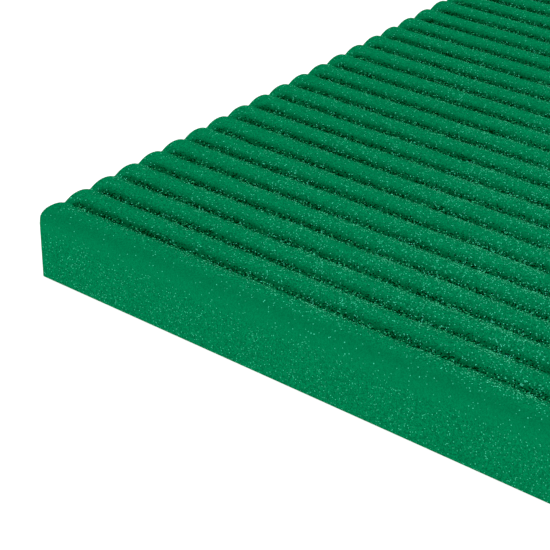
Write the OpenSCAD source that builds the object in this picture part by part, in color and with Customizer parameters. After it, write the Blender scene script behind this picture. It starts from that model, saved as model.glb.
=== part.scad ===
// Ribbed foam exercise mat: a flat slab of closed-cell foam inside a dense moulded skin.
// Ribs run across the width on the top layer, and the underside is flat.
// The origin is the middle of the underside; Y runs along the mat and Z points up.

/* [Mat] */
// Number of ribs, counted along the length
rib_count = 250; // [20:1:300]
// Distance from one rib to the next
rib_pitch = 7.4; // [5:0.1:10]
// Width of the mat, along its ribs
mat_width = 600; // [200:10:1200]
// Thickness of the mat, up to the crests of its ribs
mat_thickness = 15; // [8:0.5:25]

/* [Top layer] */
// Height of a rib above the grooves beside it
rib_height = 1.1; // [0.6:0.1:1.6]
// Radius of the rounded top edge at the two ends; the top layer is as thick
end_radius = 3; // [2.5:0.5:5]
// Radius of the rounded top edge along the two sides
side_radius = 0.8; // [0.4:0.1:2]

/* [Skin] */
// Thickness of the dense skin under the foam and along its edges
skin = 0.6; // [0.3:0.1:1.2]

/* [Hidden] */

// The rounded edges peak a little above the crests, so that they cross them at an angle
edge_lift = 0.1;
arc_top_z = mat_thickness + edge_lift;
// The top layer starts where the rounding of the ends starts
layer_z = arc_top_z - end_radius;

mat_length = rib_count * rib_pitch;
core_size = [mat_width - 2 * skin, mat_length - 2 * skin, layer_z - skin];

// A crest is an arc one pitch wide and one rib high, so neighbours meet in a groove
crest_radius = (pow(rib_pitch / 2, 2) + pow(rib_height, 2)) / (2 * rib_height);

skin_green = [0.01, 0.45, 0.28];
foam_green = [0.10, 0.55, 0.36];
arc_fn = 96;

// Extrudes a view drawn with Y along X and Z along Y, over the mat's width
module across_mat() {
    translate([-mat_width / 2, 0, 0])
        rotate([90, 0, 90])
            linear_extrude(mat_width)
                children();
}

// Extrudes a view drawn with X along X and Z along Y, over the mat's length
module along_mat() {
    translate([0, mat_length / 2, 0])
        rotate([90, 0, 0])
            linear_extrude(mat_length)
                children();
}

// A rectangle that is centred sideways and lies between two heights
module band(span, low_z, high_z) {
    translate([-span / 2, low_z])
        square([span, high_z - low_z]);
}

// View of the whole mat without ribs: a bar with rounded top corners
module rounded_bar(span, radius) {
    arc_z = arc_top_z - radius;
    band(span - 2 * radius, 0, arc_top_z);
    band(span, 0, arc_z);
    for (side = [-1, 1])
        translate([side * (span / 2 - radius), arc_z])
            circle(r = radius, $fn = arc_fn);
}

// Side view of the row of crests, each drawn as its whole circle
module crest_circles() {
    first_y = (rib_pitch - mat_length) / 2;
    for (i = [0 : rib_count - 1])
        translate([first_y + i * rib_pitch, mat_thickness - crest_radius])
            circle(r = crest_radius, $fn = arc_fn);
}

// A plate that is centred over the origin and stands at a height above it
module plate(size, low_z) {
    translate([0, 0, low_z + size.z / 2])
        cube(size, center = true);
}

// Skin of one end, over the mat's whole width; side is -1 at the front
module end_skin(side) {
    color(skin_green)
        translate([0, side * (mat_length - skin) / 2, 0])
            plate([mat_width, skin, core_size.z], skin);
}

// Skin of one long side, between the two end skins; side is -1 at the left
module side_skin(side) {
    color(skin_green)
        translate([side * (mat_width - skin) / 2, 0, 0])
            plate([skin, core_size.y, core_size.z], skin);
}

module foam_core() {
    color(foam_green)
        plate(core_size, skin);
}

module ribbed_top_layer() {
    color(skin_green)
        intersection() {
            across_mat()
                intersection() {
                    crest_circles();
                    rounded_bar(mat_length, end_radius);
                    band(mat_length, layer_z, mat_thickness);
                }
            along_mat() rounded_bar(mat_width, side_radius);
        }
}

module base_skin() {
    color(skin_green)
        plate([mat_width, mat_length, skin], 0);
}

foam_core();
ribbed_top_layer();
base_skin();
end_skin(-1);  // front_edge_skin
end_skin(1);  // back_edge_skin
side_skin(-1);  // left_edge_skin
side_skin(1);  // right_edge_skin
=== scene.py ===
"""A flat ribbed foam exercise mat, seen close up at the left corner of its front end.

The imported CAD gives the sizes. The mat's skin is rebuilt here as fine closed meshes: ten
stretches of the ribbed top layer that meet in groove bottoms, four edges and the underside.
All lengths are in metres. X runs along the ribs, Y along the mat, and Z up.
"""

import math

import bpy
import numpy as np
from mathutils import Matrix, Vector


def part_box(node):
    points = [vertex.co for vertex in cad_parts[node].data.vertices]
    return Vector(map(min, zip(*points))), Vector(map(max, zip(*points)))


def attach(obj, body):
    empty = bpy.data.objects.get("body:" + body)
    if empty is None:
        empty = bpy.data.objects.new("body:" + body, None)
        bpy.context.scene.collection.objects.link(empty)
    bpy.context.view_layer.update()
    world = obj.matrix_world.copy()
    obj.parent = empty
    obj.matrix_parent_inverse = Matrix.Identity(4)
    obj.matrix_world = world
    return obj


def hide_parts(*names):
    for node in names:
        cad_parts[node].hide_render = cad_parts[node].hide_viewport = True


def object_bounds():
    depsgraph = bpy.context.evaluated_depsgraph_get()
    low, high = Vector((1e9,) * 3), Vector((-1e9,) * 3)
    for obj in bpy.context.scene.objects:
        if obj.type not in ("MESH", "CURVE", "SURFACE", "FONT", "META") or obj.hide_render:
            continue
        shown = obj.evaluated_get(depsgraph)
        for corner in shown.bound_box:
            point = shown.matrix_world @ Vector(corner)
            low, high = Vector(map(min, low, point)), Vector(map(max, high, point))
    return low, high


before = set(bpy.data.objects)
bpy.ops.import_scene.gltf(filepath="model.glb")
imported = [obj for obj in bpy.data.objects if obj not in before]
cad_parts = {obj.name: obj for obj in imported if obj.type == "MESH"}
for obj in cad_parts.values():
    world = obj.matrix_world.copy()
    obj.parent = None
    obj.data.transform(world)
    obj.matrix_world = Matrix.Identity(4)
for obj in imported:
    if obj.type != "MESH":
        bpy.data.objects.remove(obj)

MM = 0.001

# ---------------------------------------------------------------- sizes, from the frame
HALF_WIDTH, HALF_LENGTH, TOP_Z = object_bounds()[1]
CORE_LOW, CORE_HIGH = (np.array(corner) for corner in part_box("foam_core"))
LAYER_Z = CORE_HIGH[2]

# The ribs and the rounded top edges, as in the CAD
RIB_COUNT = 250
RIB_PITCH = 2 * HALF_LENGTH / RIB_COUNT
RIB_HEIGHT = 1.1 * MM
END_RADIUS = TOP_Z - LAYER_Z
SIDE_RADIUS = 0.8 * MM
# How far the side walls of the top layer lean inwards
SIDE_LEAN = 0.1 * MM
# Radius of the mat's four upright corners
CORNER_RADIUS = 1.0 * MM
# Half the width of the rounded bottom of a groove
GROOVE_ROUND = 0.5 * MM

# ---------------------------------------------------------------- mesh density
SECTIONS = 10
RIBS_PER_SECTION = RIB_COUNT // SECTIONS
# Distance from one line along the mat to the next
COLUMN_STEP = 3.4 * MM
# Angles round the arcs of the rounded top edges where the mesh has a line
END_ANGLES = np.radians([0, 3, 10, 19, 29, 40, 52, 65, 78, 90])
SIDE_ANGLES = np.radians([0, 12, 28, 46, 66, 90])
# Heights where an upright face has a line, as shares of its height
EDGE_SHARES = np.array([0, 0.02, 0.08, 0.2, 0.35, 0.5, 0.65, 0.8, 0.92, 0.98, 1])
# How far in from each side the underside has the columns of the edges above it
UNDERSIDE_RIM = 3 * MM
# Places across one rib where the mesh has a line, as shares of the pitch
HALF_STOPS = np.array([0.022, 0.045, GROOVE_ROUND / RIB_PITCH, 0.12, 0.19, 0.28, 0.39])
RIB_STOPS = np.concatenate([HALF_STOPS, [0.5], 1 - HALF_STOPS[::-1]])

# ---------------------------------------------------------------- foam irregularity
# How far each kind of unevenness moves the surface, and how wide its features are
WAVE_HEIGHT, WAVE_WIDTH = 0.05 * MM, 9 * MM
SWELL_HEIGHT, SWELL_WIDTH = 0.06 * MM, 55 * MM
RIB_WOBBLE, SHORT_WOBBLE_WIDTH, LONG_WOBBLE_WIDTH = 0.09 * MM, 8 * MM, 30 * MM
FACE_WAVE, SHORT_FACE_WIDTH, LONG_FACE_WIDTH = 0.06 * MM, 7 * MM, 25 * MM
# The unevenness dies out over these distances from the edges of the top and of a face
TOP_CALM = 3 * MM
FACE_CALM = 4 * MM
# A groove's painted shade, its pits of painted shade and its pale glints of painted highlight
# start this far from the mat's sides, and grow over the next distance
GROOVE_PAINT_GAP, GROOVE_PAINT_FADE = 0.8 * MM, 2.5 * MM

# The noise repeats after this many cells
NOISE_CELLS = 256
# Distances below this are nothing but rounding
TINY = 1e-7


def smooth(t):
    """Rises from 0 to 1 as t does, level at both ends, and holds outside."""
    t = np.clip(t, 0, 1)
    return t * t * (3 - 2 * t)


def lattice_noise(x, y, cell, seed):
    """Smooth noise from -1 to 1, whose features are about one cell wide."""
    table = np.random.default_rng(seed).uniform(-1, 1, (NOISE_CELLS, NOISE_CELLS))
    gx, gy = x / cell, y / cell
    ix, iy = np.floor(gx).astype(int), np.floor(gy).astype(int)
    fx, fy = smooth(gx - ix), smooth(gy - iy)

    def corner(dx, dy):
        return table[(ix + dx) % NOISE_CELLS, (iy + dy) % NOISE_CELLS]

    near = corner(0, 0) * (1 - fx) + corner(1, 0) * fx
    far = corner(0, 1) * (1 - fx) + corner(1, 1) * fx
    return near * (1 - fy) + far * fy


# ---------------------------------------------------------------- the mat's surface
def column_places():
    """Places across the width: the foot of each side wall, its rounded top, and between."""
    edge = np.concatenate([[0.0], SIDE_LEAN + SIDE_RADIUS * (1 - np.cos(SIDE_ANGLES))])
    middle = 2 * (HALF_WIDTH - edge[-1])
    steps = round(middle / COLUMN_STEP)
    inner = np.linspace(edge[-1], edge[-1] + middle, steps + 1)[1:-1]
    return np.concatenate([edge, inner, (2 * HALF_WIDTH - edge)[::-1]]) - HALF_WIDTH


def row_places():
    """Places along the mat, as a list for each rib from its front groove to its back one."""
    roll = END_RADIUS * (1 - np.cos(END_ANGLES)) / RIB_PITCH
    plain = np.concatenate([[0.0], RIB_STOPS, [1.0]])
    first = np.concatenate([roll, plain[plain >= 0.5]])
    ribs = [first] + [plain] * (RIB_COUNT - 2) + [1 - first[::-1]]
    return [(i + stops) * RIB_PITCH - HALF_LENGTH for i, stops in enumerate(ribs)]


def joined(ribs):
    """One list of places from the lists of neighbouring ribs, which share their grooves."""
    return np.concatenate([ribs[0][:1]] + [stops[1:] for stops in ribs])


def rib_drop(y):
    """How far the surface lies below the crests at y: arcs, with rounded grooves between.
    The outer halves of the first and the last rib run on level into the rounded edge."""
    radius = ((RIB_PITCH / 2) ** 2 + RIB_HEIGHT ** 2) / (2 * RIB_HEIGHT)
    along = (y + HALF_LENGTH) / RIB_PITCH
    off_crest = np.abs(along - np.floor(along) - 0.5) * RIB_PITCH
    off_groove = RIB_PITCH / 2 - off_crest
    edge = RIB_PITCH / 2 - GROOVE_ROUND
    slope = edge / math.sqrt(radius ** 2 - edge ** 2)
    arc = radius - np.sqrt(radius ** 2 - np.minimum(off_crest, edge) ** 2)
    bottom = slope * (GROOVE_ROUND ** 2 - off_groove ** 2) / (2 * GROOVE_ROUND)
    drop = arc + np.where(off_groove < GROOVE_ROUND, bottom, 0)
    outer = (along < 0.5) | (along > RIB_COUNT - 0.5)
    return np.where(outer, 0, drop)


def round_off(gap, radius):
    """Height lost on a rounded edge, at a gap from the upright face below it."""
    share = np.clip(1 - gap / radius, 0, 1)
    return radius * (1 - np.sqrt(1 - share ** 2))


def top_surface(x, y):
    """The points of the ribbed top over a grid of x and y, how deep each lies in a groove, which
    sets the painted groove shade and fades out near the mat's sides, and how many pitches each is
    from the front end."""
    side_gap = HALF_WIDTH - np.abs(x)
    end_gap = HALF_LENGTH - np.abs(y)
    side_loss = round_off(side_gap - SIDE_LEAN, SIDE_RADIUS)
    end_loss = round_off(end_gap, END_RADIUS)
    height = (END_RADIUS - end_loss) * (1 - side_loss / END_RADIUS)
    depth = rib_drop(y)
    calm = smooth(side_gap / TOP_CALM) * smooth(end_gap / TOP_CALM)
    wave = WAVE_HEIGHT * (lattice_noise(x, y, WAVE_WIDTH, seed=11) - 1)
    swell = SWELL_HEIGHT * (lattice_noise(x, y, SWELL_WIDTH, seed=12) - 1)
    short_wobble = lattice_noise(x, y, SHORT_WOBBLE_WIDTH, seed=13)
    long_wobble = lattice_noise(x, y, LONG_WOBBLE_WIDTH, seed=14)
    wobble = RIB_WOBBLE * (short_wobble + long_wobble)
    height = np.where(side_gap < SIDE_LEAN / 2, 0, height - depth + calm * (wave + swell))
    points = np.stack([x, y + calm * wobble, LAYER_Z + height], -1)
    groove = depth / depth.max() * smooth((side_gap - GROOVE_PAINT_GAP) / GROOVE_PAINT_FADE)
    return points, groove, (y + HALF_LENGTH) / RIB_PITCH


def round_corners(points):
    """Rounds the four upright corners of the mat, by pressing each square corner into a disc."""
    outer = np.array([HALF_WIDTH, HALF_LENGTH]) - CORNER_RADIUS
    over = np.clip(np.abs(points[..., :2]) - outer, 0, None)
    length = np.maximum(np.linalg.norm(over, axis=-1), TINY)
    pressed = over * (over.max(-1) / length)[..., None]
    corner = over.min(-1) > 0
    out = points.copy()
    moved = np.sign(points[..., :2]) * (outer + pressed)
    out[..., :2] = np.where(corner[..., None], moved, points[..., :2])
    return out


# ---------------------------------------------------------------- closed meshes
def boundary_loop(rows, columns):
    """The numbers of a grid's outer points, in order round it."""
    number = np.arange(rows * columns).reshape(rows, columns)
    return np.concatenate(
        [number[0, :-1], number[:-1, -1], number[-1, :0:-1], number[:0:-1, 0]]
    )


def closed_piece(name, grid, back, marks=()):
    """A closed mesh whose smooth front is the grid of points. Its edge points have partners on a
    flat back, given by the function back, and one that is its own partner is shared. The front's
    outline and all edges behind it are sharp. Marks are (name, values) pairs, with a value for
    each grid point."""
    rows, columns = grid.shape[:2]
    front = grid.reshape(-1, 3)
    loop = boundary_loop(rows, columns)
    partners = back(front[loop])
    shared = np.linalg.norm(partners - front[loop], axis=1) < TINY
    place = np.where(shared, loop, len(front) + np.cumsum(~shared) - 1)
    points = np.concatenate([front, partners[~shared]])

    number = np.arange(rows * columns).reshape(rows, columns)
    quads = np.stack(
        [number[:-1, :-1], number[:-1, 1:], number[1:, 1:], number[1:, :-1]], -1
    ).reshape(-1, 4)
    faces = quads.tolist()
    for k in range(len(loop)):
        n = (k + 1) % len(loop)
        ring = [loop[n], loop[k], place[k], place[n]]
        face = [int(v) for i, v in enumerate(ring) if v != ring[i - 1]]
        if len(face) > 2:
            faces.append(face)
    faces.append([int(v) for v in place[::-1]])

    mesh = bpy.data.meshes.new(name)
    mesh.from_pydata(points, [], faces)
    smooth_faces = np.zeros(len(faces), bool)
    smooth_faces[: len(quads)] = True
    mesh.polygons.foreach_set("use_smooth", smooth_faces)
    corner_edges = np.zeros(len(mesh.loops), np.int32)
    mesh.loops.foreach_get("edge_index", corner_edges)
    sharp_edges = np.zeros(len(mesh.edges), bool)
    sharp_edges[corner_edges[4 * len(quads):]] = True
    mesh.edges.foreach_set("use_edge_sharp", sharp_edges)
    for mark, values in marks:
        every = np.zeros(len(points), np.float32)
        every[: len(front)] = values.ravel()
        mesh.attributes.new(mark, "FLOAT", "POINT").data.foreach_set("value", every)
    mesh.update()
    piece = bpy.data.objects.new(name, mesh)
    bpy.context.scene.collection.objects.link(piece)
    return piece


def to_core(points):
    """The nearest points of the foam core's box."""
    return np.clip(points, CORE_LOW, CORE_HIGH)


def to_layer(points):
    """The points straight below, where the top layer rests on the core and the edges."""
    out = points.copy()
    out[:, 2] = LAYER_Z
    return out


def make_top_sections():
    """The ribbed top layer, in stretches that each end in the bottom of a groove."""
    columns, ribs = column_places(), row_places()
    pieces = []
    for s in range(SECTIONS):
        own = ribs[s * RIBS_PER_SECTION:(s + 1) * RIBS_PER_SECTION]
        y, x = np.meshgrid(joined(own), columns, indexing="ij")
        points, groove, along = top_surface(x, y)
        marks = [("groove", groove), ("along", along)]
        piece = closed_piece(f"ribbed_top_{s + 1:02d}", round_corners(points), to_layer, marks)
        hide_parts("ribbed_top_layer")
        pieces.append(piece)
    return pieces


def face_wave(along, z, seed):
    """A slight unevenness of an upright face, which is nothing along its edges."""
    calm = smooth(z / FACE_CALM) * smooth((LAYER_Z - z) / FACE_CALM)
    calm = calm * smooth((np.abs(along).max() - np.abs(along)) / FACE_CALM)
    short_wave = lattice_noise(along, z, SHORT_FACE_WIDTH, seed)
    long_wave = lattice_noise(along, z, LONG_FACE_WIDTH, seed + 1)
    return calm * FACE_WAVE * (short_wave + long_wave - 2)


def make_end(name, side, node):
    """One end face, over the whole width; side is -1 at the front."""
    z, x = np.meshgrid(LAYER_Z * EDGE_SHARES, column_places(), indexing="ij")
    y = side * (HALF_LENGTH + face_wave(x, z, seed=31 + side))
    # The columns run in the order that makes the face look outwards
    grid = np.stack([x, y, z], -1)[:, ::-side]
    piece = closed_piece(name, round_corners(grid), to_core)
    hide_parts(node)
    return piece


def make_side(name, side, node):
    """One long side face; side is -1 at the left."""
    z, y = np.meshgrid(LAYER_Z * EDGE_SHARES, joined(row_places()), indexing="ij")
    x = side * (HALF_WIDTH + face_wave(y, z, seed=41 + side))
    # The columns run in the order that makes the face look outwards
    grid = np.stack([x, y, z], -1)[:, ::side]
    piece = closed_piece(name, round_corners(grid), to_core)
    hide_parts(node)
    return piece


def make_underside():
    """The flat underside, whose outline has the points of the edges above it."""
    columns = column_places()
    left = columns < UNDERSIDE_RIM - HALF_WIDTH
    ends = np.concatenate([columns[left], columns[left[::-1]]])
    y, x = np.meshgrid(joined(row_places()), ends, indexing="ij")
    grid = np.stack([x, y, 0 * x], -1)[:, ::-1]
    piece = closed_piece("underside", round_corners(grid), to_core)
    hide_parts("base_skin")
    return piece


# ---------------------------------------------------------------- materials
# Widths of what the foam shows: its cells, its grain, the pits of painted shade and the glints of
# painted highlight in the grooves and their clumps, patches with more or fewer glints, clouds of
# tone, and shallow dents
CELL_WIDTH = 0.22 * MM
GRAIN_WIDTH = 0.28 * MM
PIT_WIDTH = 0.28 * MM
CLUMP_WIDTH = 4 * MM
PATCH_WIDTH = 9 * MM
CLOUD_WIDTH = 60 * MM
DENT_WIDTH = 1.6 * MM
BUMP_DEPTH, BUMP_STRENGTH = 0.07 * MM, 0.5
LEAST_ROUGH, MOST_ROUGH = 0.80, 0.95

# How much the grain changes the tone of the foam
GRAIN_SPREAD = 0.17
# How open the skin is at the rounded ends of the top, and at the top of the upright faces
END_OPENNESS, RIM_OPENNESS = 0.35, 0.45
# At the bottom of a groove: the strength of its painted shade, and the shares of its pits of
# painted shade and its glints of painted highlight
GROOVE_SHADE_STRENGTH, PIT_SHARE, GROOVE_GLINT_SHARE = 0.68, 0.62, 0.13
# The painted groove shade and the pits fade to this share, between two distances from the mat's
# sides
FADED, FADE_START, FADE_END = 0.8, 20 * MM, 100 * MM
# Factors on the number of glints: at the mat's sides and this far in from them, and on the
# front slope of a rib and on its back slope
SIDE_CROWD, INNER_CROWD, INNER_REACH = 0.5, 1.35, 110 * MM
FRONT_CROWD, BACK_CROWD = 0.75, 1.6

# Colours: the foam, its painted glints on the crests, back slopes and upright faces, and in its
# grooves the painted shade, the pits of painted shade and the glints of painted highlight
FOAM_GREEN = (0.0004, 0.195, 0.0722)
CREST_GLINT = (0.08, 0.78, 0.50)
BACK_GLINT = (0.17, 1.0, 0.60)
FACE_GLINT = (0.065, 0.68, 0.40)
PIT_SHADE_GREEN = (0.0, 0.010, 0.0)
GROOVE_GLINT = (0.035, 0.46, 0.19)
GROOVE_SHADE_GREEN = (0.0, 0.050, 0.012)


class Nodes:
    """Short calls that build a material's nodes."""

    def __init__(self, name):
        self.material = bpy.data.materials.new(name)
        self.material.use_nodes = True
        self.tree = self.material.node_tree
        self.shader = self.tree.nodes["Principled BSDF"]
        self.place = self.add("TexCoord").outputs["Object"]

    def add(self, kind, **settings):
        node = self.tree.nodes.new("ShaderNode" + kind)
        for key, value in settings.items():
            setattr(node, key, value)
        return node

    def feed(self, socket, value):
        if isinstance(value, bpy.types.NodeSocket):
            self.tree.links.new(value, socket)
        else:
            socket.default_value = value

    def math(self, operation, *values):
        node = self.add("Math", operation=operation)
        for socket, value in zip(node.inputs, values):
            self.feed(socket, value)
        return node.outputs[0]

    def plus(self, a, b):
        return self.math("ADD", a, b)

    def times(self, product, *factors):
        for factor in factors:
            product = self.math("MULTIPLY", product, factor)
        return product

    def attribute(self, name):
        return self.add("Attribute", attribute_name=name).outputs["Fac"]

    def split(self, triple):
        node = self.add("SeparateXYZ")
        self.feed(node.inputs[0], triple)
        return node.outputs[:3]

    def grey(self, value):
        node = self.add("CombineXYZ")
        for socket in node.inputs:
            self.feed(socket, value)
        return node.outputs[0]

    def noise(self, feature, detail=2.0, roughness=0.5):
        node = self.add("TexNoise")
        self.feed(node.inputs["Vector"], self.place)
        self.feed(node.inputs["Scale"], 1 / feature)
        self.feed(node.inputs["Detail"], detail)
        self.feed(node.inputs["Roughness"], roughness)
        return node.outputs["Fac"]

    def cells(self, feature):
        """Distance to the middle of the nearest foam cell, and a random colour for the cell."""
        node = self.add("TexVoronoi")
        self.feed(node.inputs["Vector"], self.place)
        self.feed(node.inputs["Scale"], 1 / feature)
        return node.outputs["Distance"], node.outputs["Color"]

    def ramp(self, value, low, high, to_low=0.0, to_high=1.0):
        """Maps low..high to to_low..to_high, smoothly, and holds it outside."""
        node = self.add("MapRange", interpolation_type="SMOOTHSTEP")
        for key, number in zip(
            ("Value", "From Min", "From Max", "To Min", "To Max"),
            (value, low, high, to_low, to_high),
        ):
            self.feed(node.inputs[key], number)
        return node.outputs["Result"]

    def vary(self, noise, to_low, to_high):
        """Spreads noise, which lies mostly between 0.3 and 0.7, over to_low..to_high."""
        return self.ramp(noise, 0.3, 0.7, to_low, to_high)

    def mix(self, share, a, b, blend="MIX"):
        node = self.add("Mix", data_type="RGBA", blend_type=blend)
        self.feed(node.inputs["Factor"], share)
        for socket, value in ((node.inputs[6], a), (node.inputs[7], b)):
            self.feed(socket, (*value, 1) if isinstance(value, tuple) else value)
        return node.outputs[2]


def groove_shade_and_glints(n, colour, side_gap):
    """Paints shade into a ribbed surface's grooves, with black pits of painted shade and pale
    glints of painted highlight there. The painted shade is darkest on the foot of a rib's front
    slope, and fades a little away from the mat's sides. Also gives how far each point is down a
    rib's back slope."""
    deep = n.attribute("groove")
    back = n.ramp(n.math("FRACT", n.attribute("along")), 0.5, 0.9)
    front = n.math("SUBTRACT", 1.0, back)
    fade = n.ramp(side_gap, FADE_START, FADE_END, 1.0, FADED)

    # Painted shade: darker down in the groove, most of all on a rib's front slope
    groove_shade = n.times(n.ramp(deep, 0.0, 0.7, 0.0, GROOVE_SHADE_STRENGTH), n.math("MAXIMUM", front, 0.2))
    colour = n.mix(n.times(groove_shade, fade), colour, GROOVE_SHADE_GREEN)

    # Each cell draws its luck: the lowest are pits of painted shade, and the highest are glints
    # of painted highlight
    cell, cell_colour = n.cells(PIT_WIDTH)
    luck, _, _ = n.split(cell_colour)
    clumps = n.vary(n.noise(CLUMP_WIDTH, 1.0), 0.6, 1.4)
    crowd = n.times(clumps, fade, n.ramp(deep, 0.25, 1.0, 0.0, PIT_SHARE))
    crowd = n.times(crowd, n.ramp(back, 0.0, 1.0, 1.0, 0.6))
    # The pits are painted shade: near-black spots down in the grooves
    pits = n.times(n.math("LESS_THAN", luck, crowd), n.ramp(cell, 0.5, 0.7, 1.0, 0.0))
    colour = n.mix(pits, colour, PIT_SHADE_GREEN)
    # The pale glints in the grooves are painted highlights
    lucky = n.math("GREATER_THAN", luck, n.ramp(deep, 0.5, 0.9, 1.0, 1 - GROOVE_GLINT_SHARE))
    groove_glints = n.times(lucky, n.ramp(cell, 0.35, 0.55, 1.0, 0.0))
    return n.mix(groove_glints, colour, GROOVE_GLINT), back


def foam_material(name, glint_share, ribbed):
    """Green closed-cell foam: fine cells, and pale glints where open cells catch the light. The
    skin is smoother, with fewer open cells, at the rounded ends of the top and at the top of the
    upright faces. The glint share is how many cells have a glint where the skin is fully open."""
    n = Nodes(name)
    x, y, z = n.split(n.place)
    side_gap = n.math("SUBTRACT", HALF_WIDTH, n.math("ABSOLUTE", x))
    end_gap = n.math("SUBTRACT", HALF_LENGTH, n.math("ABSOLUTE", y))
    cell, cell_colour = n.cells(CELL_WIDTH)
    luck, size, shade = n.split(cell_colour)
    grain = n.noise(GRAIN_WIDTH, 2.0, 0.6)
    # How open the skin is, how far the tones of its cells spread, how uneven the crowd of
    # glints is, and how far a glint reaches from the middle of its cell
    if ribbed:
        openness = n.ramp(end_gap, 1 * MM, 5 * MM, END_OPENNESS, 1.0)
        spread, uneven, reach = 0.31, 0.4, 0.62
    else:
        openness = n.ramp(z, 8 * MM, 12 * MM, 1.0, RIM_OPENNESS)
        spread, uneven, reach = 0.24, 0.25, 0.50

    # The tone: grain and cells where the skin is open, wide clouds, and a painted lightening
    # where it is smooth, which makes up for the shade and the fewer glints there
    mottle = n.vary(grain, -GRAIN_SPREAD, GRAIN_SPREAD)
    mottle = n.plus(mottle, n.ramp(shade, 0.0, 1.0, -spread, spread))
    clouds = n.vary(n.noise(CLOUD_WIDTH, 1.0), 0.97, 1.01)
    tone = n.plus(n.times(mottle, openness), clouds)
    # Painted light: a little paler where the skin is smooth
    tone = n.plus(tone, n.ramp(openness, 0.3, 1.0, 0.03, 0.0))
    colour = n.mix(1.0, FOAM_GREEN, n.grey(tone), "MULTIPLY")

    # The glints: more of them away from the mat's sides and on the back slopes of its ribs
    crowd = n.times(n.vary(n.noise(PATCH_WIDTH), 1 - uneven, 1 + uneven), openness)
    glint = FACE_GLINT
    if ribbed:
        colour, back = groove_shade_and_glints(n, colour, side_gap)
        inner = n.ramp(side_gap, 0.0, INNER_REACH, SIDE_CROWD, INNER_CROWD)
        crowd = n.times(crowd, inner, n.ramp(back, 0.0, 1.0, FRONT_CROWD, BACK_CROWD))
        glint = n.mix(back, CREST_GLINT, BACK_GLINT)
    lucky = n.math("LESS_THAN", luck, n.times(crowd, glint_share))
    full = n.plus(n.times(size, 0.3), 0.1)
    spot = n.times(lucky, n.ramp(cell, full, reach, 1.0, 0.0))
    n.feed(n.shader.inputs["Base Color"], n.mix(spot, colour, glint))

    n.feed(n.shader.inputs["Roughness"], n.vary(grain, LEAST_ROUGH, MOST_ROUGH))
    n.feed(n.shader.inputs["Specular IOR Level"], 0.0)

    bump = n.add("Bump")
    n.feed(bump.inputs["Strength"], BUMP_STRENGTH)
    n.feed(bump.inputs["Distance"], BUMP_DEPTH)
    n.feed(bump.inputs["Height"], n.plus(n.times(cell, 0.5), n.noise(DENT_WIDTH, 3.0)))
    n.feed(n.shader.inputs["Normal"], bump.outputs[0])
    return n.material


def paint(piece, material):
    piece.data.materials.clear()
    piece.data.materials.append(material)


# ---------------------------------------------------------------- stage, light and camera
FLOOR_REACH = 30.0
# The floor lies a hair under the mat, so that their faces never share a plane
FLOOR_GAP = 0.01 * MM
FLOOR_GREY = (0.45, 0.45, 0.45, 1)
WHITE = (1, 1, 1, 1)
# Light that the floor and the studio round it give off
FLOOR_GLOW = 0.78
STUDIO_GLOW = 0.62


def make_floor():
    signs = [(-1, -1), (1, -1), (1, 1), (-1, 1)]
    corners = [(i * FLOOR_REACH, j * FLOOR_REACH, 0) for i, j in signs]
    mesh = bpy.data.meshes.new("floor")
    mesh.from_pydata(corners, [], [(0, 1, 2, 3)])
    floor = bpy.data.objects.new("floor", mesh)
    floor.location.z = -FLOOR_GAP
    bpy.context.scene.collection.objects.link(floor)
    n = Nodes("floor_white")
    n.feed(n.shader.inputs["Base Color"], FLOOR_GREY)
    n.feed(n.shader.inputs["Roughness"], 1.0)
    n.feed(n.shader.inputs["Specular IOR Level"], 0.0)
    n.feed(n.shader.inputs["Emission Color"], WHITE)
    n.feed(n.shader.inputs["Emission Strength"], FLOOR_GLOW)
    paint(floor, n.material)


def make_sun(name, azimuth, elevation, strength, softness):
    """A soft distant light, with its angles in degrees. Azimuth is where it stands, from +X
    towards +Y, and softness is how wide it looks from the mat."""
    light = bpy.data.lights.new(name, "SUN")
    light.energy = strength
    light.angle = math.radians(softness)
    lamp = bpy.data.objects.new(name, light)
    a, e = math.radians(azimuth), math.radians(elevation)
    toward = Vector((math.cos(a) * math.cos(e), math.sin(a) * math.cos(e), math.sin(e)))
    lamp.rotation_euler = toward.to_track_quat("Z", "Y").to_euler()
    bpy.context.scene.collection.objects.link(lamp)


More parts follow.
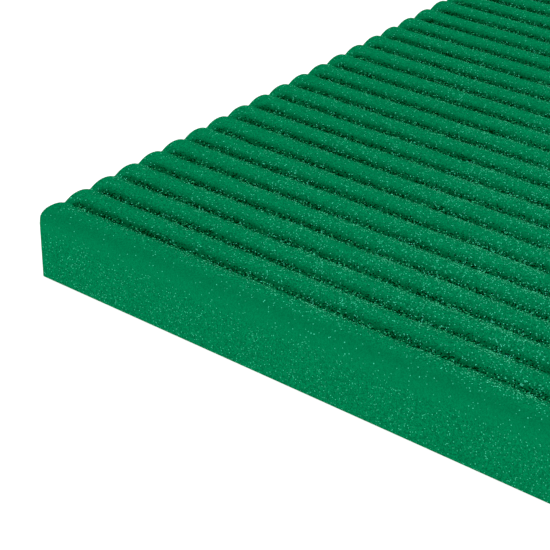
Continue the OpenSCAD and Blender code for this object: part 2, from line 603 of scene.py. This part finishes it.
def make_light():
    world = bpy.data.worlds.new("studio")
    world.use_nodes = True
    background = world.node_tree.nodes["Background"]
    background.inputs["Color"].default_value = WHITE
    background.inputs["Strength"].default_value = STUDIO_GLOW
    bpy.context.scene.world = world
    make_sun("back_softbox", azimuth=100, elevation=35, strength=1.3, softness=30)
    make_sun("front_softbox", azimuth=-80, elevation=42, strength=0.82, softness=30)


# Where the camera stands from the front left corner of the mat, at about groove height
CORNER_Z = 14.5 * MM
CAMERA_OFFSET = Vector((219.9, -206.8, 163.6)) * MM
CAMERA_HEADING = math.radians(127.70)
CAMERA_PITCH = math.radians(30.76)
CAMERA_ROLL = math.radians(0.66)
CAMERA_LENS = 111.8
SENSOR_WIDTH = 36.0
CLIP_START = 10 * MM


def make_camera():
    data = bpy.data.cameras.new("camera")
    data.lens = CAMERA_LENS
    data.sensor_width = SENSOR_WIDTH
    data.clip_start = CLIP_START
    camera = bpy.data.objects.new("camera", data)
    corner = Vector((-HALF_WIDTH, -HALF_LENGTH, CORNER_Z))
    forward = Vector((
        math.cos(CAMERA_PITCH) * math.cos(CAMERA_HEADING),
        math.cos(CAMERA_PITCH) * math.sin(CAMERA_HEADING),
        -math.sin(CAMERA_PITCH),
    ))
    right = forward.cross(Vector((0, 0, 1))).normalized()
    up = right.cross(forward)
    turned = Matrix((right, up, -forward)).transposed() @ Matrix.Rotation(CAMERA_ROLL, 3, "Z")
    camera.matrix_world = Matrix.Translation(corner + CAMERA_OFFSET) @ turned.to_4x4()
    bpy.context.scene.collection.objects.link(camera)
    bpy.context.scene.camera = camera


def main():
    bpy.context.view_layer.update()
    make_camera()
    make_light()
    make_floor()
    bpy.context.scene.view_settings.view_transform = "Standard"

    ribbed = foam_material("ribbed_foam", glint_share=0.080, ribbed=True)
    plain = foam_material("plain_foam", glint_share=0.078, ribbed=False)
    inner = foam_material("inner_foam", glint_share=0.02, ribbed=False)
    pieces = make_top_sections()
    for piece in pieces:
        paint(piece, ribbed)
    edges = [
        make_end("front_end", -1, "front_edge_skin"),
        make_end("back_end", 1, "back_edge_skin"),
        make_side("left_side", -1, "left_edge_skin"),
        make_side("right_side", 1, "right_edge_skin"),
        make_underside(),
    ]
    for piece in edges:
        paint(piece, plain)
    for piece in pieces + edges:
        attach(piece, "root")
    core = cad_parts["foam_core"]
    paint(core, inner)


main()
